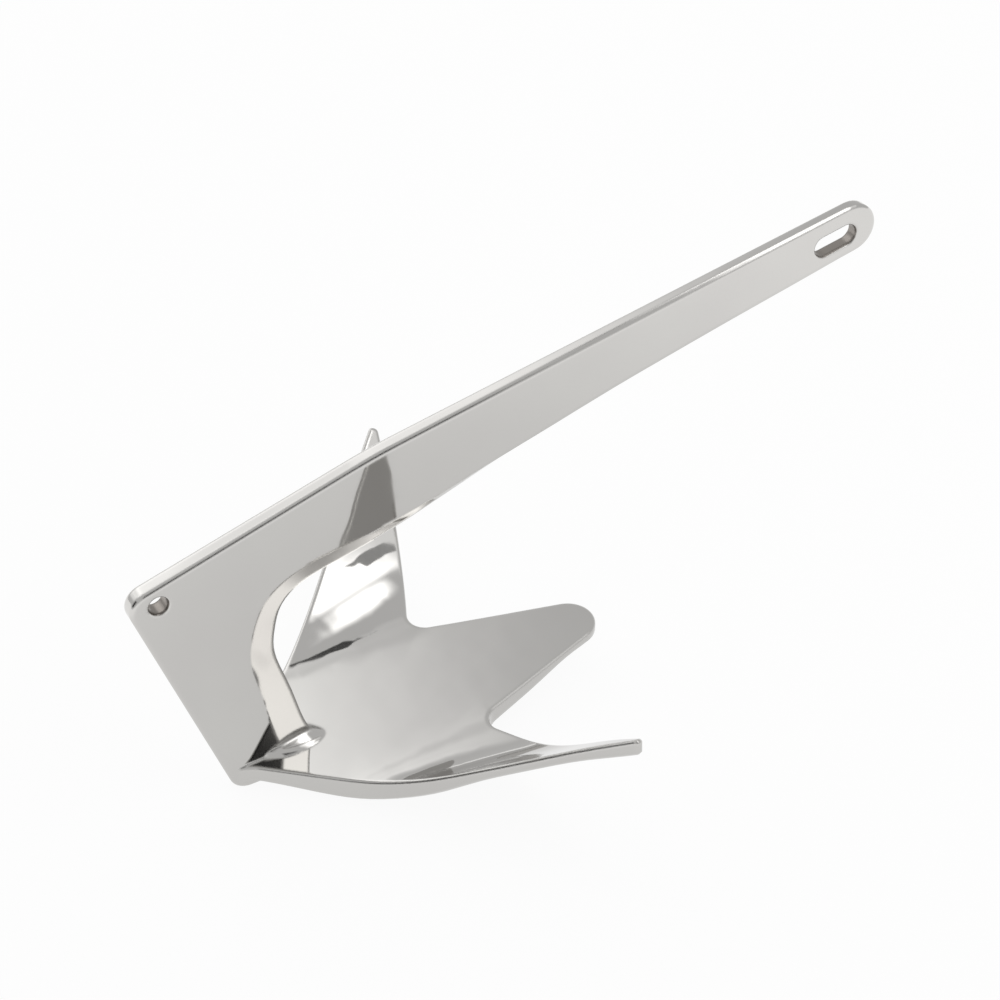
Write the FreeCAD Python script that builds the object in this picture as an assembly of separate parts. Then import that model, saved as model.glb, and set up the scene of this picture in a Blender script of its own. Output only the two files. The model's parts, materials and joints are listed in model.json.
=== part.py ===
import FreeCAD, Part
import math
import os

# Stainless steel claw anchor of the 5 kg class, cast and polished in one piece: a flat shank
# with a wide heel, and a claw of three toes. Millimetres. The anchor stands as it rests on a
# floor, on its heel and on the belly of its claw. +X points from the heel to the toes, +Z up,
# and the XZ plane cuts it into two mirrored halves. While it is built, zero is at the heel's
# lower corner. At the end zero is on the floor, under the middle of the anchor's box.

Vec = FreeCAD.Vector

# Shank: one plate, seen from the side
heelThickness = 11.2
eyeThickness = 8.0
heelLean = 17.1           # degrees, back edge of the heel to the upright
heelSlope = 15.6          # degrees, top edge over the heel
heelReach = 3.9           # lower corner of the heel behind zero
heelHeight = 157.6        # upper back corner before it is rounded
armSlope = 10.6           # degrees, top edge of the arm
armStart = 97.0           # X where the top edge bends
bendRadius = 300.0
cornerRadius = 12.0
heelRadius = 12.0
eyeX = 402.5              # centre of the round end
eyeWidth = 30.8
armRootDepth = 47.0       # arm, measured upright where the throat begins
armRootX = 134.0
armCurve = 0.56           # part of the arm's deepening that comes with the square of the way
shankRounding = 2.0       # along the edges of the plate

# Throat: the deep cut between arm and claw. Its line on the plate's flat face, as fractions
# of the way from its deepest point to the arm's root (X) and from the claw to it (Z).
throatX = 13.2            # deepest point
throatBottomZ = 6.0
crownRounding = 4.8       # under the claw, where the plate ends
throatLine = [
    (0.792, 0.958), (0.583, 0.927), (0.407, 0.908), (0.274, 0.885), (0.174, 0.847), (0.094, 0.788),
    (0.032, 0.686), (0.000, 0.582), (0.000, 0.497), (0.023, 0.399), (0.048, 0.307), (0.068, 0.216),
    (0.094, 0.124), (0.140, 0.000),
]
# The plate thins from that line to its nose, on a bevel that widens from the arm to the claw.
noseThickness = 4.0
bevelWidth = 18.5
armBevel = 0.5
bevelStart = 0.30         # part of the way from the eye to the claw

# Trip-line hole and shackle slot
holeDiameter = 11.5
holeFromTop = 11.4        # hole centre below the top edge
holeFromBack = 15.0       # hole centre from the back edge
slotLength = 28.0
slotWidth = 13.0
slotWall = 13.2           # metal between slot and the end of the arm
slotDrop = 1.4            # slot below the middle of the arm
rimRounding = 0.8

# Claw, seen from above
clawLength = 231.0
clawWidth = 325.5
wingSweep = 46.5          # degrees, back edge of a wing to the left-right line
wingTipX = 168.8          # middle of the rounding at the tip
wingBulge = 4.0           # bow of a wing's front edge
wingTipRadius = 3.0
backRadius = 28.0         # hollow round that turns the back edges into the shank
tailShare = 0.44          # part of heelThickness at which it ends, inside the shank
notchX = 131.0            # where toe and wing would meet without rounding
notchY = 45.5
notchRadius = 12.0
toeTipRadius = 17.6

# Claw, heights of its hollow upper face
crownHeight = 16.5        # at the heel end, on the middle plane
toeRise = 11.5             # from there to the tip of the middle toe
wingSlope = 0.66          # of the upper face, across a wing
wingStart = 67.0          # distance from the middle plane at which a wing bends up
wingBend = 9.0            # how gently it bends
wingEase = 3.0            # fall of the outermost part of a wing, below that slope
wingEaseStart = 140.0
wingEaseSpan = 40.0
wingTwist = 0.19          # fall of a wing from back edge to front edge
twistStart = 55.0
twistSpan = 60.0

# Claw, thickness
heelLift = 6.0            # claw's underside above the floor, at the heel
liftEnd = 64.0
liftSpan = 40.0
bellyEnd = 140.0          # X up to which the belly touches the floor
middleHalf = 12.0         # half width of the belly's even middle
middleSpan = 50.0         # beyond it, way over which the wings' thickness takes over
toeTipThickness = 6.0
toeFlankThickness = 5.2
toeThinStart = 95.0
toeThinSpan = 60.0
toeRootHalf = 45.0        # half width of the toe's thinning at its root
toeRootSpan = 25.0
wingRootThickness = 14.0
wingThickness = 8.2
wingTipThickness = 11.0
wingThinStart = 64.0
wingThinSpan = 46.0
wingThickStart = 132.0
wingThickSpan = 25.0
upperRounding = 1.5
lowerBevel = 1.5
gridStep = 20.0           # of the points that carry the claw's two faces

# Foot: the pad that flares out where the shank's nose grows out of the claw
footNose = 53.0           # X of its front end
footWideX = 28.0          # X where it is widest
footHalf = 12.5           # half width there
footBackX = 18.0          # X and half width where it turns into the shank
footBackHalf = 8.0
footTail = 9.0            # X where it ends, inside the shank
footHeight = 18.5         # of its lip
footFlare = 8.5           # from the lip to the end of the flare, inside the shank
footWaist = 22.0          # X towards which it narrows
# Height over the lip as part of the flare, and what is left there of its length and width
footForm = [(-1.0, 1.0, 1.0), (-0.3, 1.0, 1.0), (0.0, 0.96, 0.92), (0.25, 0.84, 0.64), (1.0, 0.65, 0.2)]


def rise(t):
    t = max(0.0, min(1.0, t))
    return t * t * (3 - 2 * t)


def tan(degrees):
    return math.tan(math.radians(degrees))


def roundedCorner(a, corner, b, radius):
    """Start, middle and end of the arc that rounds a corner, in X and Z."""
    ax, az = a[0] - corner[0], a[1] - corner[1]
    bx, bz = b[0] - corner[0], b[1] - corner[1]
    la, lb = math.hypot(ax, az), math.hypot(bx, bz)
    ax, az, bx, bz = ax / la, az / la, bx / lb, bz / lb
    half = math.acos(ax * bx + az * bz) / 2
    back = radius / math.tan(half)
    mx, mz = ax + bx, az + bz
    deep = (radius / math.sin(half) - radius) / math.hypot(mx, mz)
    return (
        (corner[0] + ax * back, corner[1] + az * back),
        (corner[0] + mx * deep, corner[1] + mz * deep),
        (corner[0] + bx * back, corner[1] + bz * back),
    )


# Side view of the shank
heelCorner = (-heelReach, 0.0)
backCorner = (heelCorner[0] - heelHeight * tan(heelLean), heelHeight)
bendPoint = (armStart, heelHeight + (armStart - backCorner[0]) * tan(heelSlope))


def armTop(x):
    return bendPoint[1] + (x - armStart) * tan(armSlope)


def armBottom(x):
    """Underside of the arm: it deepens from the eye to its root, faster near the root."""
    u = (eyeX - x) / (eyeX - armRootX)
    end = eyeWidth / math.cos(math.radians(armSlope))
    return armTop(x) - end - (armRootDepth - end) * ((1 - armCurve) * u + armCurve * u * u)


eyeRadius = eyeWidth / 2
lean = math.radians(armSlope)
eyeZ = armTop(eyeX) - eyeRadius / math.cos(lean)
lowLean = math.atan((armBottom(eyeX) - armBottom(eyeX - eyeRadius)) / eyeRadius)
eyeTop = (eyeX - eyeRadius * math.sin(lean), eyeZ + eyeRadius * math.cos(lean))
eyeFar = (eyeX + eyeRadius, eyeZ)
eyeLow = (eyeX + eyeRadius * math.sin(lowLean), eyeZ - eyeRadius * math.cos(lowLean))

armSteps = [0.13, 0.28, 0.43, 0.58, 0.73, 0.87, 1.0]
faceLine = [(eyeX - (eyeX - armRootX) * u, armBottom(eyeX - (eyeX - armRootX) * u)) for u in armSteps]
rootZ = faceLine[-1][1]
for fx, fz in throatLine:
    faceLine.append((throatX + fx * (armRootX - throatX), throatBottomZ + fz * (rootZ - throatBottomZ)))


def bevelled(line, part):
    """The line moved out of the metal, by the bevel's width times part."""
    points = [eyeLow] + line
    way = [0.0]
    for p, q in zip(points, points[1:]):
        way.append(way[-1] + math.hypot(q[0] - p[0], q[1] - p[1]))
    moved = []
    for i in range(1, len(points)):
        p, q = points[i - 1], points[min(i + 1, len(points) - 1)]
        dx, dz = q[0] - p[0], q[1] - p[1]
        if i == len(points) - 1:
            dx, dz = 0, -1
        size = math.hypot(dx, dz)
        width = armBevel + bevelWidth * rise((way[i] / way[-1] - bevelStart) / (1 - bevelStart))
        moved.append((points[i][0] - dz / size * width * part, points[i][1] + dx / size * width * part))
    return moved


def lowerSpline(line, y):
    """Underside of the arm and throat as one curve, leaving the eye in its own direction."""
    curve = Part.BSplineCurve()
    curve.interpolate(
        Points=[Vec(eyeLow[0], y, eyeLow[1])] + [Vec(px, y, pz) for px, pz in line],
        InitialTangent=Vec(-math.cos(lowLean), 0, -math.sin(lowLean)),
        FinalTangent=Vec(0, 0, -1),
    )
    return curve.toShape()


def sideLine(a, b, y):
    return Part.makeLine(Vec(a[0], y, a[1]), Vec(b[0], y, b[1]))


def sideArc(points, y):
    return Part.Arc(*[Vec(px, y, pz) for px, pz in points]).toShape()


noseLine = bevelled(faceLine, 1.0)
crownEnd = noseLine[-1]
crownCorner = (crownEnd[0], 0.0)
y0 = -heelThickness / 2
heelArc = roundedCorner(crownCorner, heelCorner, backCorner, heelRadius)
backArc = roundedCorner(heelCorner, backCorner, bendPoint, cornerRadius)
bendArc = roundedCorner(backCorner, bendPoint, eyeTop, bendRadius)
crownArc = roundedCorner(crownEnd, crownCorner, heelCorner, crownRounding)
outline = Part.Wire([
    sideArc(heelArc, y0),
    sideLine(heelArc[2], backArc[0], y0),
    sideArc(backArc, y0),
    sideLine(backArc[2], bendArc[0], y0),
    sideArc(bendArc, y0),
    sideLine(bendArc[2], eyeTop, y0),
    sideArc((eyeTop, eyeFar, eyeLow), y0),
    lowerSpline(noseLine, y0),
    sideLine(crownEnd, crownArc[0], y0),
    sideArc(crownArc, y0),
    sideLine(crownArc[2], heelArc[0], y0),
])
shank = Part.Face(outline).extrude(Vec(0, heelThickness, 0))
print("shank outline", shank.isValid())

# Both faces of the plate lean in towards the eye
backX = backCorner[0]
lengthwise = eyeX + eyeRadius - backX
halfTaper = math.degrees(math.atan((heelThickness - eyeThickness) / 2 / lengthwise))
for side in (1, -1):
    shaving = Part.makeBox(2 * lengthwise, lengthwise, 2 * lengthwise)
    shaving.translate(Vec(backX - lengthwise / 2, -lengthwise if side < 0 else 0, -lengthwise))
    shaving.translate(Vec(0, side * heelThickness / 2, 0))
    shaving.rotate(Vec(backX, side * heelThickness / 2, 0), Vec(0, 0, 1), -side * halfTaper)
    shank = shank.cut(shaving)


def halfThickness(x):
    return heelThickness / 2 - (x - backX) * tan(halfTaper)


def onFace(edge):
    """True for an edge that lies in one of the two flat faces of the plate."""
    span = edge.LastParameter - edge.FirstParameter
    points = [edge.valueAt(edge.FirstParameter + span * t) for t in (0, 0.3, 0.6, 1)]
    return all(abs(abs(p.y) - halfThickness(p.x)) < 0.005 for p in points)


shank = shank.makeFillet(shankRounding, [e for e in shank.Edges if onFace(e)])
print("shank rounded", shank.isValid(), len(shank.Faces))


def bevelSection(y, part):
    """Closed line round the space in front of the bevel, at one distance from the middle."""
    line = bevelled(faceLine, 1.0 - part)
    below, right = -eyeWidth, eyeX + 2 * eyeWidth
    last = line[-1]
    corners = [last, (last[0], below), (right, below), (right, eyeLow[1]), eyeLow]
    edges = [lowerSpline(line, y)]
    edges += [sideLine(a, b, y) for a, b in zip(corners, corners[1:])]
    return Part.Wire(edges)


faceY = halfThickness(throatX)
outerY = faceY + shankRounding
for side in (1, -1):
    sections = [
        bevelSection(side * noseThickness / 2, 0.0),
        bevelSection(side * outerY, (outerY - noseThickness / 2) / (faceY - noseThickness / 2)),
    ]
    shank = shank.cut(Part.makeLoft(sections, True, True))
print("throat bevelled", shank.isValid(), len(shank.Faces))

# Trip-line hole in the heel, shackle slot in the eye
along = (math.cos(math.radians(heelSlope)), math.sin(math.radians(heelSlope)))
holeX = backCorner[0] + holeFromTop * tan(heelLean) + holeFromBack / math.cos(math.radians(heelLean))
holeZ = heelHeight + (holeX - backCorner[0]) * tan(heelSlope) - holeFromTop / along[0]
slotDX, slotDZ = math.cos((lean + lowLean) / 2), math.sin((lean + lowLean) / 2)
slotRadius = slotWidth / 2
slotEnds = []
for back in (eyeRadius - slotWall - slotRadius, eyeRadius - slotWall - slotLength + slotRadius):
    slotEnds.append((eyeX + slotDX * back, eyeZ - slotDrop + slotDZ * back))
rod = Part.makeCylinder(holeDiameter / 2, 2 * heelThickness, Vec(holeX, -heelThickness, holeZ), Vec(0, 1, 0))
(ex, ez), (sx, sz) = slotEnds
nx, nz = -slotDZ * slotRadius, slotDX * slotRadius
far = (ex + slotDX * slotRadius, ez + slotDZ * slotRadius)
near = (sx - slotDX * slotRadius, sz - slotDZ * slotRadius)
bar = Part.Face(Part.Wire([
    sideArc(((ex + nx, ez + nz), far, (ex - nx, ez - nz)), -heelThickness),
    sideLine((ex - nx, ez - nz), (sx - nx, sz - nz), -heelThickness),
    sideArc(((sx - nx, sz - nz), near, (sx + nx, sz + nz)), -heelThickness),
    sideLine((sx + nx, sz + nz), (ex + nx, ez + nz), -heelThickness),
])).extrude(Vec(0, 2 * heelThickness, 0))
shank = shank.cut(rod).cut(bar)


def nearPoint(edge, x, z, reach):
    box = edge.BoundBox
    return math.hypot(box.Center.x - x, box.Center.z - z) < reach and box.DiagonalLength < 2.3 * reach


slotX, slotZ = (ex + sx) / 2, (ez + sz) / 2
rims = [e for e in shank.Edges if onFace(e)
        and (nearPoint(e, holeX, holeZ, holeDiameter) or nearPoint(e, slotX, slotZ, slotLength * 0.6))]
shank = shank.makeFillet(rimRounding, rims)
print("hole and slot", shank.isValid(), "hole at", round(holeX, 2), round(holeZ, 2),
      "slot at", round(slotX, 2), round(slotZ, 2))

# Claw: the space between its upper and lower face, cut to its outline


# A flank of the toe runs straight from the notch to the rounding of the toe's tip
tipX = clawLength - toeTipRadius
toeAngle = math.atan2(notchY, tipX - notchX) - math.asin(toeTipRadius / math.hypot(tipX - notchX, notchY))
toeApex = notchX + notchY / math.tan(toeAngle)


def bend(t):
    """Runs along zero, then turns smoothly into a slope of one."""
    return math.log(1 + math.exp(t))


def middleHeight(x):
    return crownHeight + toeRise * x / clawLength


def hollow(x, y):
    """Height of the claw's upper face: level in the middle, with the wings bent up and twisted."""
    y = abs(y)
    wing = bend((y - wingStart) / wingBend) + bend((-y - wingStart) / wingBend)
    fall = wingTwist * rise((y - twistStart) / twistSpan) * (x - y * tan(wingSweep))
    ease = wingEase * rise((y - wingEaseStart) / wingEaseSpan)
    return middleHeight(x) + wingSlope * wingBend * wing - fall - ease


def belly(x, y):
    """Height of the claw's lower face."""
    y = abs(y)
    tipGap = crownHeight + toeRise - toeTipThickness
    floor = tipGap * max(0, (x - bellyEnd) / (clawLength - bellyEnd)) ** 2
    floor += heelLift * rise((liftEnd - x) / liftSpan)
    toeHalf = max(toeTipRadius / 2, (toeApex - x) * math.tan(toeAngle))
    flank = rise((x - toeThinStart) / toeThinSpan) * rise(y / toeHalf)
    flank *= 1 - rise((y - toeRootHalf) / toeRootSpan)
    middle = middleHeight(x) - floor
    middle -= (middle - toeFlankThickness) * flank
    wing = wingRootThickness
    wing -= (wingRootThickness - wingThickness) * rise((y - wingThinStart) / wingThinSpan)
    wing += (wingTipThickness - wingThickness) * rise((y - wingThickStart) / wingThickSpan)
    share = rise((y - middleHalf) / middleSpan)
    return hollow(x, y) - middle * (1 - share) - wing * share


def smoothFace(height):
    """Smooth surface through a grid of points that reaches past the claw's outline."""
    reachX = int(clawLength / gridStep) + 4
    reachY = int(clawWidth / 2 / gridStep) + 3
    points = [
        [Vec(x, y, height(x, y)) for y in [gridStep * j for j in range(-reachY, reachY + 1)]]
        for x in [gridStep * i for i in range(-3, reachX)]
    ]
    surface = Part.BSplineSurface()
    surface.interpolate(points)
    return surface.toShape()


# Outline from above. Toe and wings end in arcs, which stand inside the sharp corners of the blank.
tipCentre = (wingTipX, clawWidth / 2 - wingTipRadius)
backAngle = math.radians(90 - wingSweep)
chordX, chordY = tipCentre[0] - notchX, tipCentre[1] - notchY
frontAngle = math.atan2(chordY, chordX) + 2 * math.atan(2 * wingBulge / math.hypot(chordX, chordY))
tipReach = wingTipRadius / math.sin((frontAngle - backAngle) / 2)
tipWay = (frontAngle + backAngle) / 2
wingTip = Vec(tipCentre[0] + tipReach * math.cos(tipWay), tipCentre[1] + tipReach * math.sin(tipWay), 0)
notch = Vec(notchX, notchY, 0)
bow = Vec((notchX + wingTip.x) / 2 + wingBulge, (notchY + wingTip.y) / 2, 0)
apex = Vec(toeApex, 0, 0)


def mirrored(p):
    return Vec(p.x, -p.y, p.z)


def backPoint(angle):
    """Point of the hollow round where it runs at this angle to the shank."""
    return Vec(tail.x + backRadius * math.sin(angle), tailHalf + backRadius * (1 - math.cos(angle)), 0)


# A tail runs on inside the shank and past it. It is cut off once the rims are round.
tailHalf = tailShare * heelThickness
meetY = tailHalf + backRadius * (1 - math.cos(backAngle))
meetX = wingTip.x - (wingTip.y - meetY) / math.tan(backAngle)
tail = Vec(meetX - backRadius * math.sin(backAngle), tailHalf, 0)
tailEnd = Vec(tail.x - backRadius, tailHalf, 0)
meet = backPoint(backAngle)
plan = Part.Wire([
    Part.makeLine(mirrored(tailEnd), tailEnd),
    Part.makeLine(tailEnd, tail),
    Part.Arc(tail, backPoint(backAngle / 2), meet).toShape(),
    Part.makeLine(meet, wingTip),
    Part.Arc(wingTip, bow, notch).toShape(),
    Part.makeLine(notch, apex),
    Part.makeLine(apex, mirrored(notch)),
    Part.Arc(mirrored(notch), mirrored(bow), mirrored(wingTip)).toShape(),
    Part.makeLine(mirrored(wingTip), mirrored(meet)),
    Part.Arc(mirrored(meet), mirrored(backPoint(backAngle / 2)), mirrored(tail)).toShape(),
    Part.makeLine(mirrored(tail), mirrored(tailEnd)),
])
blank = Part.Face(plan).extrude(Vec(0, 0, clawWidth))
blank.translate(Vec(0, 0, -clawWidth / 4))


def uprights(shape, point):
    """The upright edges of the blank at a point of its outline and at its mirror point."""
    found = []
    for edge in shape.Edges:
        box = edge.BoundBox
        flat = box.XLength < 0.001 and box.YLength < 0.001
        if flat and abs(box.Center.x - point.x) < 0.1 and abs(abs(box.Center.y) - point.y) < 0.1:
            found.append(edge)
    return found


for point, radius in ((notch, notchRadius), (apex, toeTipRadius), (wingTip, wingTipRadius)):
    blank = blank.makeFillet(radius, uprights(blank, point))
down = Vec(0, 0, -clawWidth)
claw = blank.common(smoothFace(hollow).extrude(down)).cut(smoothFace(belly).extrude(down))
claw = claw.Solids[0]
print("claw cut out", claw.isValid(), len(claw.Faces))


def rimOf(shape, height):
    """Edges that follow a face of the claw, without the short one at the end of the tail."""
    found = []
    for edge in shape.Edges:
        box = edge.BoundBox
        middle = edge.valueAt((edge.FirstParameter + edge.LastParameter) / 2)
        level = box.XLength + box.YLength > 0.02 and middle.x > tailEnd.x + 0.1
        if level and abs(middle.z - height(middle.x, middle.y)) < upperRounding:
            found.append(edge)
    return found


claw = claw.makeFillet(upperRounding, rimOf(claw, hollow))
claw = claw.makeChamfer(lowerBevel, rimOf(claw, belly))
spare = Part.makeBox(clawLength, clawWidth, clawWidth)
spare.translate(Vec(-tailHalf / 2 - clawLength, -clawWidth / 2, -clawWidth / 2))
claw = claw.cut(spare)
print("claw rounded", claw.isValid(), len(claw.Faces))


def footOutline(height, length, width):
    """Smooth outline of the foot at one height, shrunk to these parts of its length and width."""
    half = [(footNose, 0.0), (footWideX, footHalf), (footBackX, footBackHalf), (footTail, 0.0)]
    ring = half + [(x, -y) for x, y in half[-2:0:-1]]
    z = footHeight + footFlare * height
    points = [Vec(footWaist + (x - footWaist) * length, y * width, z) for x, y in ring]
    curve = Part.BSplineCurve()
    curve.interpolate(points, PeriodicFlag=True)
    return Part.Wire(curve.toShape())


foot = Part.makeLoft([footOutline(*part) for part in footForm], True)
print("foot", foot.isValid(), len(foot.Faces))
anchor = shank.fuse([claw, foot]).Solids[0]
print("joined", anchor.isValid(), len(anchor.Faces))

box = anchor.optimalBoundingBox(True, False)
middleX = (box.XMin + box.XMax) / 2
anchor.translate(Vec(-middleX, 0, -box.ZMin))
print("moved by", round(-middleX, 3), round(-box.ZMin, 3))
print("size", round(box.XLength, 2), round(box.YLength, 2), round(box.ZLength, 2))
print("volume", round(anchor.Volume), "mm3, mass", round(anchor.Volume * 7.93e-6, 3), "kg")
print("centre of mass", anchor.CenterOfGravity)

os.makedirs("parts", exist_ok=True)
anchor.exportStep("parts/anchor.step")
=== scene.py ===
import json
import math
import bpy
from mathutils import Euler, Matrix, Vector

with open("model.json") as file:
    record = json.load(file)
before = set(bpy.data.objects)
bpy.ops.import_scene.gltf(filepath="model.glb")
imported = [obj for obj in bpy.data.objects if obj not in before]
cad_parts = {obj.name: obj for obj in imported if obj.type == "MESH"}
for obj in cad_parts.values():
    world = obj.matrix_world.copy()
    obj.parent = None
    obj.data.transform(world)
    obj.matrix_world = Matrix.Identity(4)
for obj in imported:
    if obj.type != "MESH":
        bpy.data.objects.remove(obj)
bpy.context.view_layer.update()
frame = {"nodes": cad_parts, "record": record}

# Mirror-polished claw anchor on a white studio floor. Metres. The anchor is one casting: its solid
# comes finished from the CAD frame and keeps its shape. This script gives it its steel, and adds
# the floor, the soft light and the camera.

anchor = frame["nodes"]["anchor"]
mounts = {m["name"]: Vector(m["pos_m"]) for m in frame["record"]["mounts"]}


def linear(hexColour):
    # sRGB hex to linear RGBA
    channels = [int(hexColour[i:i + 2], 16) / 255 for i in (1, 3, 5)]
    return tuple(c / 12.92 if c <= 0.04045 else ((c + 0.055) / 1.055) ** 2.4 for c in channels) + (1.0,)


def addNode(tree, kind, settings=None, inputs=None):
    # inputs are constants, or sockets to link from
    node = tree.nodes.new(kind)
    for name, value in (settings or {}).items():
        setattr(node, name, value)
    for name, value in (inputs or {}).items():
        if isinstance(value, bpy.types.NodeSocket):
            tree.links.new(value, node.inputs[name])
        else:
            node.inputs[name].default_value = value
    return node


def calculate(tree, operation, a, b=0.0):
    return addNode(tree, "ShaderNodeMath", {"operation": operation}, {0: a, 1: b}).outputs[0]


def withVectors(tree, operation, a, b=(0, 0, 0)):
    return addNode(tree, "ShaderNodeVectorMath", {"operation": operation}, {0: a, 1: b}).outputs


def mix(tree, factor, a, b):
    # two numbers: all of a where factor is 0, all of b where it is 1
    return addNode(tree, "ShaderNodeMix", None, {"Factor": factor, 2: a, 3: b}).outputs[0]


def mixColours(tree, factor, a, b):
    return addNode(tree, "ShaderNodeMix", {"data_type": "RGBA"}, {"Factor": factor, 6: a, 7: b}).outputs[2]


def smooth(tree, value, start, end, atStart, atEnd):
    # eases from one number to another while value runs from start to end
    return addNode(tree, "ShaderNodeMapRange", {"interpolation_type": "SMOOTHSTEP"}, {
        "Value": value, "From Min": start, "From Max": end, "To Min": atStart, "To Max": atEnd,
    }).outputs["Result"]


def newMaterial(name):
    material = bpy.data.materials.new(name)
    material.use_nodes = True
    return material, material.node_tree, material.node_tree.nodes["Principled BSDF"]


# Cast stainless steel, ground by hand and buffed to a mirror: long soft waves in what it
# reflects, and a slight haze. The patterns' sizes are those on the real anchor: 55 mm for the
# waves of the grinding, 6 mm for the skin that the buffing wheel leaves, 20 mm for the patches of
# haze. The wheel's own marks are a tenth of a millimetre, too fine to show, and drawn at 0.6 mm.
steel = {
    "colour": "#C3C2BF",
    "deepColour": "#BCBAB8",
    "cloudSize": 0.07,           # of the change from one colour to the other
    "roughness": 0.03,
    "haze": 0.03,                # added to the roughness where the buffing left a haze
    "hazeSize": 0.02,
    "hazeRange": (0.35, 0.75),   # of the noise, over which the haze comes in
    "edgeSoftness": 0.003,       # radius that polishing leaves on edges and in corners
    "edgeSamples": 8,
    "waves": (0.055, 0.00025),   # size and height
    "skin": (0.006, 0.0000015),
    "marks": (0.0006, 0.00000025),
    "boreFinishAndShade": "#8A8580",     # painted shade inside the hole and the slot and on a thin ring round them
    "boreRoughness": 0.28,
}

# Seen from the side, a bore is a line between two ends: half its length, its slope in degrees,
# and the radius within which the metal is milled rougher and painted darker as shade, a little over the
# bore's own.
bores = {
    "trip_line_hole": {"half": 0.0, "slope": 0.0, "radius": 0.0061},
    "shackle_slot": {"half": 0.0075, "slope": 12.0, "radius": 0.0069},
}


def boreMask(tree, place):
    # 1 where the distance to a bore's line, across the plate, is less than its radius
    mask = 0.0
    for name, bore in bores.items():
        slope = math.radians(bore["slope"])
        way = (math.cos(slope), 0, math.sin(slope))
        fromMount = withVectors(tree, "SUBTRACT", place, mounts[name])[0]
        flat = withVectors(tree, "MULTIPLY", fromMount, (1, 0, 1))[0]
        run = withVectors(tree, "DOT_PRODUCT", flat, way)["Value"]
        run = calculate(tree, "MAXIMUM", calculate(tree, "MINIMUM", run, bore["half"]), -bore["half"])
        nearest = addNode(tree, "ShaderNodeVectorMath", {"operation": "SCALE"}, {0: way, "Scale": run})
        gap = withVectors(tree, "SUBTRACT", flat, nearest.outputs[0])[0]
        distance = withVectors(tree, "LENGTH", gap)["Value"]
        mask = calculate(tree, "MAXIMUM", calculate(tree, "LESS_THAN", distance, bore["radius"]), mask)
    return mask


def polishedSteel(look):
    material, tree, shader = newMaterial("mirror_polished_stainless")
    place = addNode(tree, "ShaderNodeTexCoord").outputs["Object"]

    def noise(size, detail=2.0):
        return addNode(tree, "ShaderNodeTexNoise", None, {
            "Vector": place, "Scale": 1 / size, "Detail": detail, "Roughness": 0.5,
        }).outputs["Fac"]

    colour = mixColours(tree, noise(look["cloudSize"]), linear(look["deepColour"]), linear(look["colour"]))
    clear, dull = look["roughness"], look["roughness"] + look["haze"]
    polish = smooth(tree, noise(look["hazeSize"], 4.0), *look["hazeRange"], clear, dull)
    normal = addNode(tree, "ShaderNodeBevel", {"samples": look["edgeSamples"]}, {
        "Radius": look["edgeSoftness"],
    }).outputs["Normal"]
    for size, height in (look["waves"], look["skin"], look["marks"]):
        normal = addNode(tree, "ShaderNodeBump", None, {
            "Height": noise(size), "Distance": height, "Strength": 1.0, "Normal": normal,
        }).outputs["Normal"]
    # painted shade: inside the hole and the slot, and a little round them, the colour is darker; the milled
    # walls there are also rougher
    inBore = boreMask(tree, place)
    colour = mixColours(tree, inBore, colour, linear(look["boreFinishAndShade"]))
    tree.links.new(colour, shader.inputs["Base Color"])
    tree.links.new(mix(tree, inBore, polish, look["boreRoughness"]), shader.inputs["Roughness"])
    tree.links.new(normal, shader.inputs["Normal"])
    shader.inputs["Metallic"].default_value = 1.0
    return material


anchor.data.materials.clear()
anchor.data.materials.append(polishedSteel(steel))
print("anchor: polished steel, milled hole and slot")


def sheet(name, wide, high):
    # a flat sheet round its own middle
    x, y = wide / 2, high / 2
    mesh = bpy.data.meshes.new(name)
    mesh.from_pydata([(-x, -y, 0), (x, -y, 0), (x, y, 0), (-x, y, 0)], [], [(0, 1, 2, 3)])
    piece = bpy.data.objects.new(name, mesh)
    bpy.context.scene.collection.objects.link(piece)
    return piece


def lamp(tree, strength):
    # glowing white surface, 1 is plain white
    return addNode(tree, "ShaderNodeEmission", None, {"Color": (1, 1, 1, 1), "Strength": strength})


def showMix(tree, factor, a, b):
    # the material's surface: shader a where factor is 0, shader b where it is 1
    surface = addNode(tree, "ShaderNodeMixShader", None, {0: factor, 1: a.outputs[0], 2: b.outputs[0]})
    tree.links.new(surface.outputs[0], tree.nodes["Material Output"].inputs["Surface"])


# White vinyl floor, matt
floor = {
    "size": 60.0,
    "colour": "#F6F6F6",
    "grainSize": 0.33,
    "grain": (0.85, 0.95),       # roughness, from and to
    "glow": 0.93,                # share that is plain white to the camera and in the steel
    "nearAnchor": (0.1, 0.98),   # distance and brightness in the steel, close to the anchor: a painted shadow
    "furtherOut": (0.55, 1.3),
}


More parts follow.
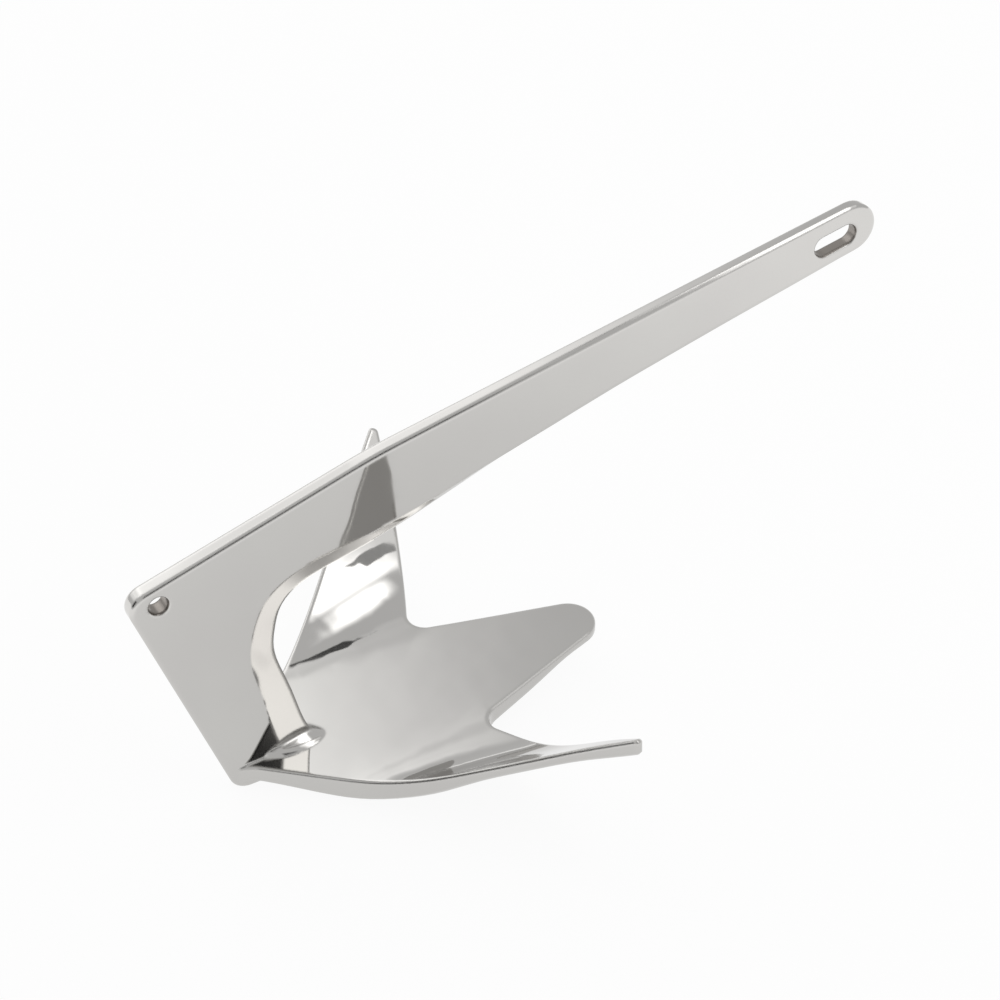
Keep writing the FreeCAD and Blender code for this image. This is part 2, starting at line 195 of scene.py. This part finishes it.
def whiteFloor(look):
    # the glowing share gives the white ground, the matt share keeps the anchor's shadow. In the steel, the
    # glowing share is a painted shadow, dimmer close to the anchor and brighter further out
    material, tree, shader = newMaterial("white_floor")
    place = addNode(tree, "ShaderNodeTexCoord").outputs["Object"]
    grain = addNode(tree, "ShaderNodeTexNoise", None, {"Vector": place, "Scale": 1 / look["grainSize"]})
    tree.links.new(smooth(tree, grain.outputs["Fac"], 0.0, 1.0, *look["grain"]), shader.inputs["Roughness"])
    shader.inputs["Base Color"].default_value = linear(look["colour"])
    path = addNode(tree, "ShaderNodeLightPath").outputs
    seen = calculate(tree, "ADD", path["Is Camera Ray"], path["Is Glossy Ray"])
    seen = calculate(tree, "ADD", seen, path["Is Transmission Ray"])
    # painted shadow round the anchor: the floor seen in the steel glows dimmer close to it and brighter
    # further out; the camera sees it evenly
    distance = withVectors(tree, "LENGTH", place)["Value"]
    (near, dim), (far, bright) = look["nearAnchor"], look["furtherOut"]
    level = mix(tree, path["Is Camera Ray"], smooth(tree, distance, near, far, dim, bright), 1.0)
    showMix(tree, calculate(tree, "MULTIPLY", seen, look["glow"]), shader, lamp(tree, level))
    return material


sheet("floor", floor["size"], floor["size"]).data.materials.append(whiteFloor(floor))
print("white floor laid")

# Cloths round the set: middle, turn in degrees, width and height, and how far in from its edges
# each one fades to clear. Glow is the brightness of a lit one, where 1 is white. Folds are the
# size and the depth of its soft folds. The dark ones give the polished edges their dark lines.
# The camera doesn't see them.
cloths = {
    "key": {
        "at": (0.76, -1.05, 1.75), "turn": (180, 0, 11), "size": (0.6, 2.2), "fade": (0.7, 0.25),
        "glow": 2.8,
    },
    "spot": {
        "at": (0.46, 0.3, 1.7), "turn": (180, 0, 11), "size": (0.3, 0.9), "fade": (0.7, 0.7),
        "glow": 3.2,
    },
    "fill": {
        "at": (1.35, -1.0, 1.95), "turn": (180, 0, 11), "size": (1.4, 2.6), "fade": (0.4, 0.4),
        "glow": 1.15,
    },
    "behind": {
        "at": (-1.0, 3.0, 2.9), "turn": (90, 0, 0), "size": (5.0, 4.2), "fade": (0.65, 0.3),
        "glow": 1.65, "folds": (1.1, 0.2),
    },
    "front": {
        "at": (-0.22, -2.0, 1.6), "turn": (52, 0, 5), "size": (1.5, 1.7), "fade": (0.4, 0.4),
        "colour": "#101010",
    },
    "left": {
        "at": (-2.1, -0.05, 0.95), "turn": (66, 0, -88), "size": (2.2, 1.3), "fade": (0.3, 0.3),
        "colour": "#0C0C0C",
    },
    "flag": {
        "at": (0.84, -0.53, 1.65), "turn": (0, 0, 11), "size": (0.13, 0.24), "fade": (0.1, 0.1),
        "colour": "#C4C4C4",
    },
    "boom": {
        "at": (0.4, 1.36, 2.1), "turn": (35, 0, -20), "size": (0.12, 0.6), "fade": (0.2, 0.1),
        "colour": "#0A0A0A",
    },
}
weaveSize = 0.025          # of the dark cloths, which are coarse felt
foldRange = (0.35, 0.65)   # of the noise, from the dark to the bright of a fold


def fadingCloth(name, cloth):
    piece = sheet(name, *cloth["size"])
    piece.location = cloth["at"]
    piece.rotation_euler = [math.radians(angle) for angle in cloth["turn"]]
    piece.visible_camera = False
    material, tree, shader = newMaterial(name + "_cloth")
    place = addNode(tree, "ShaderNodeTexCoord").outputs["Object"]
    across = addNode(tree, "ShaderNodeSeparateXYZ", None, {"Vector": place}).outputs
    cover = 1.0
    for axis in (0, 1):
        half = cloth["size"][axis] / 2
        fromMiddle = calculate(tree, "ABSOLUTE", across[axis])
        fade = smooth(tree, fromMiddle, half * (1 - cloth["fade"][axis]), half, 1.0, 0.0)
        cover = calculate(tree, "MULTIPLY", fade, cover)
    if "glow" in cloth:
        tree.nodes.remove(shader)
        shader = lamp(tree, cloth["glow"])
    else:
        weave = addNode(tree, "ShaderNodeTexNoise", None, {"Vector": place, "Scale": 1 / weaveSize})
        tree.links.new(weave.outputs["Fac"], shader.inputs["Roughness"])
        shader.inputs["Base Color"].default_value = linear(cloth["colour"])
    if "folds" in cloth:
        size, depth = cloth["folds"]
        drape = addNode(tree, "ShaderNodeTexNoise", None, {"Vector": place, "Scale": 1 / size, "Detail": 1.0})
        low, high = cloth["glow"] * (1 - depth), cloth["glow"] * (1 + depth)
        tree.links.new(smooth(tree, drape.outputs["Fac"], *foldRange, low, high), shader.inputs["Strength"])
    showMix(tree, cover, addNode(tree, "ShaderNodeBsdfTransparent"), shader)
    piece.data.materials.append(material)


for name, cloth in cloths.items():
    fadingCloth(name, cloth)

room = {"colour": "#FFFFFF", "strength": 0.74}   # what surrounds the cloths
world = bpy.data.worlds.new("room")
bpy.context.scene.world = world
world.use_nodes = True
air = world.node_tree.nodes["Background"]
air.inputs["Color"].default_value = linear(room["colour"])
air.inputs["Strength"].default_value = room["strength"]
print("studio lit with", len(cloths), "cloths")

camera = {
    "fromHole": (-0.30665, -1.02407, 0.88816),   # from the trip-line hole
    "turn": (51.7025, 1.9914, -28.1994),         # degrees
    "lens": 93.6,                                # mm, as the sensor
    "sensor": 36,
}
view = bpy.data.objects.new("camera", bpy.data.cameras.new("camera"))
bpy.context.scene.collection.objects.link(view)
view.location = mounts["trip_line_hole"] + Vector(camera["fromHole"])
view.rotation_euler = Euler([math.radians(angle) for angle in camera["turn"]])
view.data.lens = camera["lens"]
view.data.sensor_width = camera["sensor"]
bpy.context.scene.camera = view
bpy.context.scene.view_settings.view_transform = "Standard"
print("camera set")
